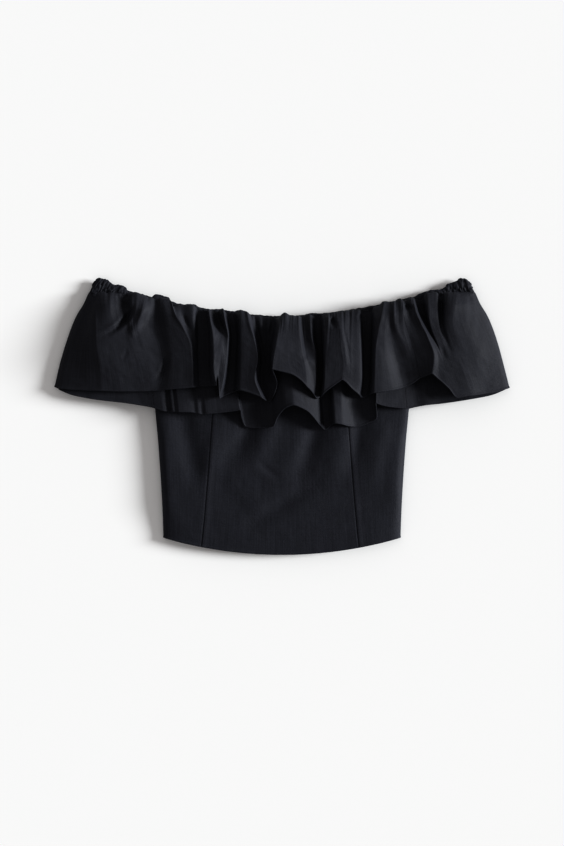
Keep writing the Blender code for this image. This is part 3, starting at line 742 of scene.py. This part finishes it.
# %% [markdown]
# ## The elastic casing
# A tube of cloth is drawn up over elastic. Its gathers are short and uneven, and they lift its top edge into
# small scallops. It is built as one ring: a rounded section swept along the neckline, over one shoulder fold,
# along the back and over the other.

# %% The casing ring
# How far the top edge stands over or under an even neckline, in steps, from the left to the right.
TOP_EDGE = (
    (-192, -1), (-187, 1.2), (-183.5, 4.2), (-176, 4.8), (-171, 2.4), (-168, 1.8), (-164, 3), (-160, 3.3),
    (-155.5, 2), (-153, -1.6), (-144, 0.8), (-137, 0.2), (-131, -1), (-127, 2.8), (-121, 3.8), (-114, 3.2),
    (-111.5, 1), (-109, -5.6), (-102, -2), (-89, 1.8), (-77, -1.8), (-63, 1.4), (-50, 1), (-40, 3),
    (-32, -0.8), (-20, -0.3), (-3, -0.9), (3, 2.2), (9, -0.2), (20, -0.8), (27, 1.4), (40, -0.3),
    (56, -0.2), (75, -1.4), (87, -0.5), (96, -1.6), (102, 1.4), (111, -0.4), (116, 1.4), (120, -2),
    (125, 0.3), (131, -0.8), (139, 1.4), (151, 1.8), (158, -0.5), (162, 0.8), (167.5, 3.6), (174, 3.2),
    (179.5, 4.6), (184, 2.8), (187, -1), (192, -4),
)
CASING_THICK = 5.0
CASING_FRONT_Z = 8.5
CASING_BACK_Z = 2.6
CASING_WALL = 0.6
CASING_COLUMNS = 760  # along the front, and as many along the back
NECK_GATHER = 4.3  # sizes of the casing's gathers, of smaller ones, of the scallops and of what wanders
SMALL_NECK_GATHER = 2.6
SCALLOP = 5.2
WANDER = 3.4
CRINKLE = 3.1  # size of the crinkles at the shoulder ends, where the casing isn't covered
CRINKLE_HIGH = 2.6
CRINKLE_FROM = 225.0
CRINKLE_RUN = 40.0


def top_edge(x):
    places, rises = np.array(TOP_EDGE, float).T
    return through(places * STEP, rises * STEP, np.clip(x, places[0] * STEP, places[-1] * STEP))


def casing_line():
    """The middle line of the ring and the way its outer side faces: front, an end, back and the other end."""
    half_drop = (CASING_FRONT_Z - CASING_BACK_Z) / 2
    end = NECK_HALF - half_drop
    front, turn = np.linspace(-1, 1, CASING_COLUMNS), np.linspace(0, np.pi, 14)[1:-1]
    level, over = front * 0, turn * 0 + 1
    out = join(level, np.sin(turn), level, -np.sin(turn))
    up = join(level + 1, np.cos(turn), level - 1, -np.cos(turn))
    x = join(front, over, -front, -over) * end + half_drop * out
    z = CASING_BACK_Z + half_drop * (1 + up)
    return x, z, out, up


def thickness(across):
    """Share of the full thickness: even over the elastic, then rounded off to the top edge."""
    return np.sin(np.pi * min(1.0, 0.22 + 0.78 * across)) ** 0.6 if across > 0.4 else 0.97


def casing():
    x, z, out, up = casing_line()
    outside = [(across, thickness(across)) for across in np.linspace(0, 0.94, 12)]
    inside = [(across, -thick) for across, thick in outside[::-1]]
    along = np.cumsum(np.hypot(np.diff(x, prepend=x[0]), np.diff(z, prepend=z[0])))
    is_front = (up > 0.5).astype(float)
    width = casing_width(x)
    gathers = np.abs(ripples(along, NECK_GATHER, 41)) * 0.8 + 0.4 * ripples(along, SMALL_NECK_GATHER, 42)
    crinkled = CRINKLE_HIGH * smooth((np.abs(x) - CRINKLE_FROM) / CRINKLE_RUN)
    points = []
    for across, thick in outside + [(1.0, 0.0)] + inside:
        rise = top_edge(x) * is_front * across**2 + 0.5 * ripples(along, SCALLOP, 43) * across
        rise -= 0.9 * gathers * across
        px, py = neck_point(x, width * (1 - across) - rise)
        waves = 1 - 0.34 * gathers * np.sin(np.pi * min(0.95, max(0.1, across))) * (thick > 0)
        wander = 0.4 * ripples(along + 7 * across, WANDER, 44) * across * (thick > 0)
        creased = dapple(along + 3.0 * np.sin(across * 4), across * width + 40, CRINKLE, 45)
        wander += crinkled * np.abs(creased) * (thick > 0)
        half = CASING_THICK / 2 * thick * waves + wander - 0.4 * crinkled * (thick > 0)
        points.append(np.stack([px + out * half, py, z + up * half], -1))
    ring = np.stack(points, 1)
    ring[..., 2] = np.maximum(ring[..., 2], 0)
    columns, rows = ring.shape[:2]
    i, j = np.meshgrid(np.arange(columns), np.arange(rows), indexing="ij")
    i2, j2 = (i + 1) % columns, (j + 1) % rows
    faces = np.stack([i * rows + j, i2 * rows + j, i2 * rows + j2, i * rows + j2], -1).reshape(-1, 4)
    uv = np.stack([np.broadcast_to(along[:, None], i.shape), ring[..., 1]], -1).reshape(-1, 2) * MM
    inwards = unit(np.cross(tangents(ring.swapaxes(0, 1), True).swapaxes(0, 1), tangents(ring, True)))
    points = join(ring.reshape(-1, 3), (ring + CASING_WALL * inwards).reshape(-1, 3))
    faces = join(faces, faces[:, ::-1] + columns * rows)
    piece = add_mesh("casing_cloth", points, faces, join(uv, uv), [])
    whole = join(ring, ring[:1])
    piece["cloth_area"] = cloth_area(np.concatenate([whole, whole[:, :1]], 1))
    tell("casing_cloth", len(faces) * 2)
    return ring[:CASING_COLUMNS, : len(outside) + 1]


band = casing()

# %% [markdown]
# ## The flounces
# A flounce is a long strip, gathered to about two thirds of its length at the casing. Fine gathers under the
# seam merge into the charted ridges and valleys. A cloth simulation could make such folds, but not these
# ones: the chart keeps each where it was laid, and seeded ripples add the gathers and dents.


# %% Shape of a flounce's front
CAMERA_HEIGHT = 3095.0
CAMERA_Y = -10.0
PLACES = (0, 0.25, 0.5, 0.75, 1)  # shares of the way down at which a chart says where a fold runs
HEIGHT_PLACES = (0, 0.13, 0.33, 0.62, 1)  # and how high it stands
SWELL_AT = 0.045  # share at which the cloth bulges up over the casing
SWELL_SIZE = 5.5  # size and depth of the unevenness of this bulge
SWELL_UNEVEN = 1.2
FULL_GATHER = 22.0  # a ridge this high at the seam swells fully
SEAM_RISE_RUN = 0.3  # share over which it comes down from the thickness of the seam
GATHER = 7.4  # sizes of the gathers, of the finer ones between them and of their uneven reach
FINE_GATHER = 3.9
GATHER_REACH = 11.0
GATHER_FADE = 0.13
GATHER_HIGH = 3.0
SHOULDER_FROM = 215.0  # from here to each end the cloth is pulled flatter over the shoulder
SHOULDER_RUN = 55.0
FOLD_RUN = 14.0  # the shoulder folds stay smooth over this width
DENT = 19.0  # sizes of the soft dents in the cloth and of the small slanting ones
SMALL_DENT = 8.0


def chart(rows, names):
    return dict(zip(names, np.array(rows, float).T))


def column_places(table, count, seams):
    """Even places along the hem, with one of them on each seam."""
    knots = np.arange(len(table["hem"]))
    fine = np.linspace(0, knots[-1], knots[-1] * 30 + 1)

    def steps(key, scale=1.0):
        return np.diff(through(knots, table[key], fine) * scale) ** 2

    at_hem = steps("at4", STEP) + steps("hem", STEP) + steps("low")
    halfway = steps("at2", STEP) + steps("mid")
    length = join([0], np.cumsum(np.sqrt(np.maximum(at_hem, halfway))))
    marks = [length[0], *(np.interp(seam, fine, length) for seam in seams), length[-1]]
    places = []
    for start, stop in zip(marks, marks[1:]):
        parts = max(2, round(count * (stop - start) / length[-1]))
        places.append(np.linspace(start, stop, parts + 1)[:-1])
    places = join(*places, [length[-1]])
    return np.interp(places, length, fine)


def fine_gathers(neck, v, seed):
    """Short gathers that fan out of the seam and fade: their height over the cloth, from about -1 to 1."""
    lean = 1 + 0.12 * v
    coarse = 1 - 2 * np.abs(ripples(neck * lean, GATHER, seed))
    fine = 1 - 2 * np.abs(ripples(neck * lean, FINE_GATHER, seed + 1))
    reach = 1 + 0.8 * ripples(neck, GATHER_REACH, seed + 2)
    return (0.62 * coarse + 0.38 * fine) * np.exp(-v / (GATHER_FADE * reach + 0.01))


def from_above(points):
    """The charts were read from straight above, so what stands higher belongs closer to the middle."""
    shrink = 1 - points[..., 2] / CAMERA_HEIGHT
    x = points[..., 0] * shrink
    y = CAMERA_Y + (points[..., 1] - CAMERA_Y) * shrink
    return np.stack([x, y, points[..., 2]], -1)


def front_of_flounce(table, places, down, seam_rise, swell, creases, seed):
    """The front from shoulder fold to shoulder fold, with its folds, its gathers and its pressed creases."""
    knots = np.arange(len(table["hem"]))
    crisp = table["crisp"]
    at = np.stack([through(knots, table[f"at{i}"], places) for i in range(5)], 1) * STEP
    at[:, 0], seam_y = neck_point(at[:, 0], seam_down(at[:, 0]))
    seam_y = seam_y[:, None]
    neck = (at[:, 0] / (1 + NECK_FLARE * seam_down(at[:, 0])))[:, None]
    tall = [through(knots, table[key], places, crisp) for key in ("top", "bust", "mid", "low")]
    heights = np.stack([tall[0] * 0, *tall], 1)
    v = down[None, :]
    x = through(PLACES, at, down)
    hem_y = through(knots, table["hem"], places, crisp * 0.6)[:, None] * STEP
    y = seam_y * (1 - v) + hem_y * v
    share = np.clip(tall[0] / FULL_GATHER, 0.1, 1.05)[:, None]
    shoulder = smooth((np.abs(neck) - SHOULDER_FROM) / SHOULDER_RUN)
    # Close to the seam the cloth bulges up, and back over the casing.
    bulge = (v / SWELL_AT) ** 2 * np.exp(2 * (1 - v / SWELL_AT))
    cover = (seam_down(neck) * (1 - 0.75 * shoulder) + top_edge(neck) * (1 - shoulder)) * share
    drop = (seam_y - hem_y) * SWELL_AT
    y = y + swell * (cover + drop + SWELL_UNEVEN * ripples(neck, SWELL_SIZE, seed + 5)) * bulge
    gathers = GATHER_HIGH * smooth(v / 0.02) * fine_gathers(neck, v, seed)
    rise = seam_rise * smooth(1 - v / SEAM_RISE_RUN)
    ends = smooth((NECK_HALF - np.abs(neck)) / FOLD_RUN)
    dents = 0.5 * dapple(x, y * 0.6, DENT, seed + 7) + 0.22 * dapple(x + 0.5 * y, y, SMALL_DENT, seed + 8)
    h = through(HEIGHT_PLACES, heights, down) + gathers * (0.7 + 0.3 * share) * (1 - 0.75 * shoulder)
    h = h + ends * smooth(v / 0.2) * dents
    h = h - ends * smooth(v / 0.1) * pressed(x, y, creases)
    return from_above(np.stack([x, y, bed_height(x, y) + rise + h], -1))


print("places on the way down:", len(PLACES))

# %% Shape of a flounce's back, and the whole ring
BACK_FOLD = (1, 0.9985, 0.996, 0.992, 0.986, 0.978, 0.968, 0.955, 0.94, 0.92, 0.9)
BACK_SEAM_AT = 0.9  # share of the half width at which the back meets the shoulder pieces
BACK_COLUMNS = 130
BACK_HEM_Y = 7.0
BACK_HEM_CURVE = 2.2
SLEEVE_FOLD_Z = 6.0
SLEEVE_CURL_FROM = 0.968  # share at which the back curls up to the shoulder fold


def back_of_flounce(right_end, left_end, hem_ends, down, outer_z):
    """From the right shoulder fold to the left one, flat on what it lies on."""
    inner = np.linspace(0.88, -0.88, BACK_COLUMNS)
    across = join(BACK_FOLD, inner, -np.array(BACK_FOLD[::-1]))[:, None]
    share = np.abs(across)
    end = np.where(across > 0, right_end[None, :, 0], -left_end[None, :, 0])
    x = across * end
    hem = np.where(across > 0, hem_ends[1], hem_ends[0])
    hem_y = BACK_HEM_Y + (hem - BACK_HEM_Y) * share**BACK_HEM_CURVE
    neck = across * NECK_HALF
    seam_y = neck_y(neck) - seam_down(neck)
    v = down[None, :]
    y = seam_y * (1 - v) + hem_y * v
    curl = np.clip((share - SLEEVE_CURL_FROM) / (1 - SLEEVE_CURL_FROM), 0, 1)
    z = outer_z + back_pleats(x, y) + SLEEVE_FOLD_Z * (1 - np.sqrt(1 - curl * curl))
    return np.stack([x, y, z], -1), int(np.argmin(np.abs(across[:, 0] - BACK_SEAM_AT)))


def cut_piece(ring, start, stop):
    """One of the four pieces of a flounce, with half a seam's gap at both of its edges."""
    piece = ring[np.arange(start, stop + 1) % len(ring)].copy()
    for edge, seam, side in ((0, start, 1), (-1, stop, -1)):
        along = ring[(seam + 1) % len(ring)] - ring[(seam - 1) % len(ring)]
        piece[edge] += side * SEAM_GAP / 2 * unit(along)
    return piece


def flounce(name, table, seams, down, count, outer_z, bed, **form):
    """Builds a whole flounce as one ring, cuts it into its four pieces and returns its front."""
    places = column_places(table, count, seams)
    front = front_of_flounce(table, places, down, **form)
    front[:, 1:] = bed.lift(front)[:, 1:]
    hem_ends = (table["hem"][0] * STEP, table["hem"][-1] * STEP)
    back, seam = back_of_flounce(front[-1], front[0], hem_ends, down, outer_z)
    front[-1], front[0] = back[0], back[-1]
    ring = join(front, back[1:-1])
    normal = normals_of(ring, closed=True)
    # Along the sewn line the inner side goes down and away from the neck, never up into the casing.
    at_seam = normal[: len(front), 0]
    at_seam[:, 1:] = np.maximum(at_seam[:, 1:], 0)
    at_seam[:] = unit(at_seam)
    outer, inner = hemmed(ring, normal)
    outer[len(front) :] = ring[len(front) :]
    cuts = [int(np.argmin(np.abs(places - at))) for at in seams]
    cuts += [len(front) - 1 + seam, len(ring) - seam]
    order = ("front", "shoulder_right", "back", "shoulder_left")
    for part, start, stop in zip(order, cuts, cuts[1:] + [cuts[0] + len(ring)]):
        shell(f"{name}_{part}_cloth", cut_piece(outer, start, stop), cut_piece(inner, start, stop))
    return front


def rows_down(fine, total):
    """Places from the seam to the hem, close together at both ends."""
    near = np.linspace(0, 0.12, fine)
    rest = np.linspace(0.12, 0.975, total)[1:]
    return join(near, rest, [0.982, 0.988, 0.993, 0.9965, 0.999, 1])


print("rows down a flounce:", len(rows_down(20, 48)))

# %% [markdown]
# ## The lower flounce
# It lies closer to the bodice and shows only near its hem. So its folds run straight from the seam to the
# hem, and their heights near the seam follow from those lower down.

# %% Build the lower flounce
lower_table = chart(LOWER_FRONT, LOWER_NAMES)
for quarter in (1, 2, 3):
    lower_table[f"at{quarter}"] = lower_table["at0"] + (lower_table["at4"] - lower_table["at0"]) * quarter / 4
lower_table["top"] = lower_table["mid"] / 2
lower_table["bust"] = lower_table["mid"] * 0.8
lower_front = flounce(
    "lower",
    lower_table,
    LOWER_SEAMS,
    rows_down(10, 46),
    count=430,
    outer_z=1.8,
    bed=Bed(*bodice_front, band),
    seam_rise=1.7,
    swell=0.0,
    creases=(),
    seed=51,
)

# %% [markdown]
# ## The upper flounce
# It lies over everything else. Its folds bend on the way down, it swells up over the casing, and its back
# lies lowest of all, on the surface.

# %% Build the upper flounce
flounce(
    "upper",
    chart(UPPER_FRONT, UPPER_NAMES),
    UPPER_SEAMS,
    rows_down(20, 48),
    count=880,
    outer_z=0.0,
    bed=Bed(*bodice_front, band, lower_front),
    seam_rise=3.4,
    swell=1.0,
    creases=UPPER_CREASES,
    seed=71,
)

# %% [markdown]
# ## The cloth's finish
# The cloth is a tight plain weave, blue-black, with a low silky sheen and faint slubs along the warp. Its
# colour comes from those slubs and a slow mottle, its roughness varies with both, and the weave and small
# crinkles are bump. A small class lets the shader's maths be written as plain expressions.


# %% Writing shader maths as expressions
class Wire:
    """A shader socket that can be added, multiplied and so on as a number can."""

    def __init__(self, maker, socket):
        self.maker, self.socket = maker, socket

    def __add__(self, other):
        return self.maker.math("ADD", self, other)

    def __sub__(self, other):
        return self.maker.math("SUBTRACT", self, other)

    def __mul__(self, other):
        return self.maker.math("MULTIPLY", self, other)

    def __rsub__(self, other):
        return self.maker.math("SUBTRACT", other, self)

    __radd__, __rmul__ = __add__, __mul__


class Finish:
    """A material with one Principled shader, whose constants are set on the shader itself."""

    def __init__(self, name, **constants):
        self.material = bpy.data.materials.new(name)
        self.material.use_nodes = True
        self.tree = self.material.node_tree
        self.shader = self.tree.nodes["Principled BSDF"]
        for key, value in constants.items():
            self.shader.inputs[key.replace("_", " ")].default_value = value

    def make(self, kind, settings=None, values=None, out=0):
        """A node with its settings, and its sockets' values or links. Returns one of its outputs."""
        node = self.tree.nodes.new("ShaderNode" + kind)
        for key, value in (settings or {}).items():
            setattr(node, key, value)
        for key, value in (values or {}).items():
            if isinstance(value, Wire):
                self.tree.links.new(value.socket, node.inputs[key])
            else:
                node.inputs[key].default_value = value
        return Wire(self, node.outputs[out])

    def math(self, operation, *values):
        return self.make("Math", {"operation": operation}, dict(enumerate(values)))

    def noise(self, place, scale, detail, roughness):
        sockets = {"Vector": place, "Scale": scale, "Detail": detail, "Roughness": roughness}
        return self.make("TexNoise", values=sockets)

    def wear(self, **wires):
        """Links what varies over the surface to the shader."""
        for key, wire in wires.items():
            self.tree.links.new(wire.socket, self.shader.inputs[key.replace("_", " ")])


print("shader maths ready")

# %% The woven cloth
THREAD = 0.00045  # distance from one thread to the next, in metres
WAVE = 6.2832 / THREAD
SLUB_STRETCH = (620.0, 14.0, 1.0)  # thin across the cloth and long up it
CROSS_STRETCH = (24.0, 700.0, 1.0)
MIX_SHARE, MIX_DARK, MIX_LIGHT, MIX_COLOUR = 0, 6, 7, 2  # sockets of the node that mixes two colours


def woven(name, dark, light, roughness):
    cloth = Finish(
        name,
        Metallic=0.0,
        IOR=1.48,
        Specular_IOR_Level=0.12,
        Sheen_Weight=0.02,
        Sheen_Roughness=0.4,
        Sheen_Tint=(0.75, 0.8, 1.0, 1.0),
    )
    cut = cloth.make("UVMap", {"uv_map": "cut"})
    along = cloth.make("SeparateXYZ", values={"Vector": cut})
    up = Wire(cloth, along.socket.node.outputs[1])
    warp = cloth.math("SINE", along * WAVE)
    weft = cloth.math("SINE", up * WAVE)
    tall = cloth.make("Mapping", values={"Vector": cut, "Scale": SLUB_STRETCH})
    wide = cloth.make("Mapping", values={"Vector": cut, "Scale": CROSS_STRETCH})
    slubs = cloth.noise(tall, 1, detail=3, roughness=0.6)
    cross = cloth.noise(wide, 1, detail=2, roughness=0.5)
    mottle = cloth.noise(cut, 22, detail=3, roughness=0.55)
    crinkle = cloth.noise(cut, 130, detail=4, roughness=0.55)
    tone = slubs * 0.55 + cross * 0.2 + mottle * 0.25
    shades = {MIX_SHARE: (tone - 0.3) * 2.5, MIX_DARK: (*dark, 1.0), MIX_LIGHT: (*light, 1.0)}
    colour = cloth.make("Mix", {"data_type": "RGBA", "blend_type": "MIX"}, shades, out=MIX_COLOUR)
    rough = (mottle - 0.5) * 0.22 + (slubs - 0.5) * 0.16 + roughness
    height = warp * weft * 0.25 + slubs * 0.8 + cross * 0.3 + crinkle * 3.2
    bump = cloth.make("Bump", values={"Strength": 0.55, "Distance": 0.00022, "Height": height})
    cloth.wear(Base_Color=colour, Roughness=rough, Normal=bump)
    print("finish", name, "has", len(cloth.tree.nodes), "nodes")
    return cloth.material


finishes = {
    "flounce_cloth": woven("flounce_weave", (0.0170, 0.0176, 0.0218), (0.0309, 0.0320, 0.0398), 0.58),
    "bodice_cloth": woven("bodice_weave", (0.0167, 0.0174, 0.0219), (0.0320, 0.0333, 0.0422), 0.6),
    "casing_cloth": woven("casing_weave", (0.0172, 0.0179, 0.0224), (0.0310, 0.0320, 0.0402), 0.6),
}

# %% [markdown]
# ## Dressing the frame
# Every piece rides on the one body, stands for its solid, which is hidden, and takes its finish from its
# slot.

# %% Dress every piece
# For each slot: node, piece, how it is held, what it rests on, and the cut's width and length in metres.
DRESS = {
    "bodice_cloth": (
        ("bodice_back", "back_cloth", "laid", (), (0.40, 0.37)),
        ("bodice_front_centre", "front_centre_cloth", "laid", ("back_cloth",), (0.25, 0.36)),
        ("bodice_front_side_left", "front_side_left_cloth", "laid", ("back_cloth",), (0.09, 0.34)),
        ("bodice_front_side_right", "front_side_right_cloth", "laid", ("back_cloth",), (0.09, 0.34)),
    ),
    "casing_cloth": (("neck_casing", "casing_cloth", "gathered", ("back_cloth",), (1.30, 0.024)),),
    "flounce_cloth": (
        ("lower_flounce_front", "lower_front_cloth", "gathered", ("front_centre_cloth",), (0.48, 0.15)),
        ("lower_flounce_shoulder_left", "lower_shoulder_left_cloth", "gathered", (), (0.19, 0.14)),
        ("lower_flounce_shoulder_right", "lower_shoulder_right_cloth", "gathered", (), (0.20, 0.14)),
        ("lower_flounce_back", "lower_back_cloth", "laid", (), (0.60, 0.15)),
        ("upper_flounce_front", "upper_front_cloth", "gathered", ("lower_front_cloth",), (0.62, 0.12)),
        ("upper_flounce_shoulder_left", "upper_shoulder_left_cloth", "gathered", (), (0.26, 0.13)),
        ("upper_flounce_shoulder_right", "upper_shoulder_right_cloth", "gathered", (), (0.27, 0.13)),
        ("upper_flounce_back", "upper_back_cloth", "laid", (), (0.62, 0.15)),
    ),
}
for slot, rows in DRESS.items():
    for node, name, held, rests_on, flat in rows:
        piece = pieces[name]
        piece.data.materials.append(finishes[slot])
        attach(piece, "root")
        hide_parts(node)
    print("dressed", len(rows), "pieces in", slot)

# %% [markdown]
# ## The floor
# The top lies on a plain pale floor. It belongs to the picture only, so it is staged and no part of the
# object.

# %% Floor
bpy.ops.object.select_all(action="DESELECT")
bpy.ops.mesh.primitive_plane_add(size=8.0, location=(0, 0, -0.0004))
floor = bpy.context.object
floor.name = "floor"
bpy.ops.object.transform_apply(location=True)
paper = Finish("floor_white", Base_Color=(0.86, 0.86, 0.86, 1), Roughness=0.9, Specular_IOR_Level=0.1)
floor.data.materials.append(paper.material)
print("floor:", [round(side, 2) for side in floor.dimensions[:2]], "m")

# %% [markdown]
# ## The light
# One broad, soft light stands low on the right, with a pale sky all round. It is a sun, because the floor
# then stays evenly bright.

# %% Light
scene = bpy.context.scene
sun = bpy.data.objects.new("key_light", bpy.data.lights.new("key_light", "SUN"))
sun.data.energy = 4.7
sun.data.angle = 0.3
sun.data.color = (0.96, 0.98, 0.985)
sun.rotation_euler = Vector((-1.0, -0.09, -0.32)).to_track_quat("-Z", "Y").to_euler()
scene.collection.objects.link(sun)
scene.world = bpy.data.worlds.new("pale_sky")
scene.world.use_nodes = True
sky = scene.world.node_tree.nodes["Background"].inputs
sky["Color"].default_value = (1.0, 0.975, 0.965, 1)
sky["Strength"].default_value = 0.335
scene.view_settings.view_transform = "Standard"
scene.view_settings.look = "High Contrast"
print("key light:", round(sun.data.energy, 1))

# %% [markdown]
# ## The camera
# It looks straight down, from the height that the charts were read from.

# %% Camera
camera = bpy.data.objects.new("camera", bpy.data.cameras.new("camera"))
camera.data.lens = 85
camera.data.sensor_width = 36
camera.data.clip_end = 20
camera.location = (0, (CAMERA_Y + ORIGIN_SHIFT[1]) * MM, CAMERA_HEIGHT * MM)
scene.collection.objects.link(camera)
scene.camera = camera
print("camera height:", round(camera.location.z, 3), "m")
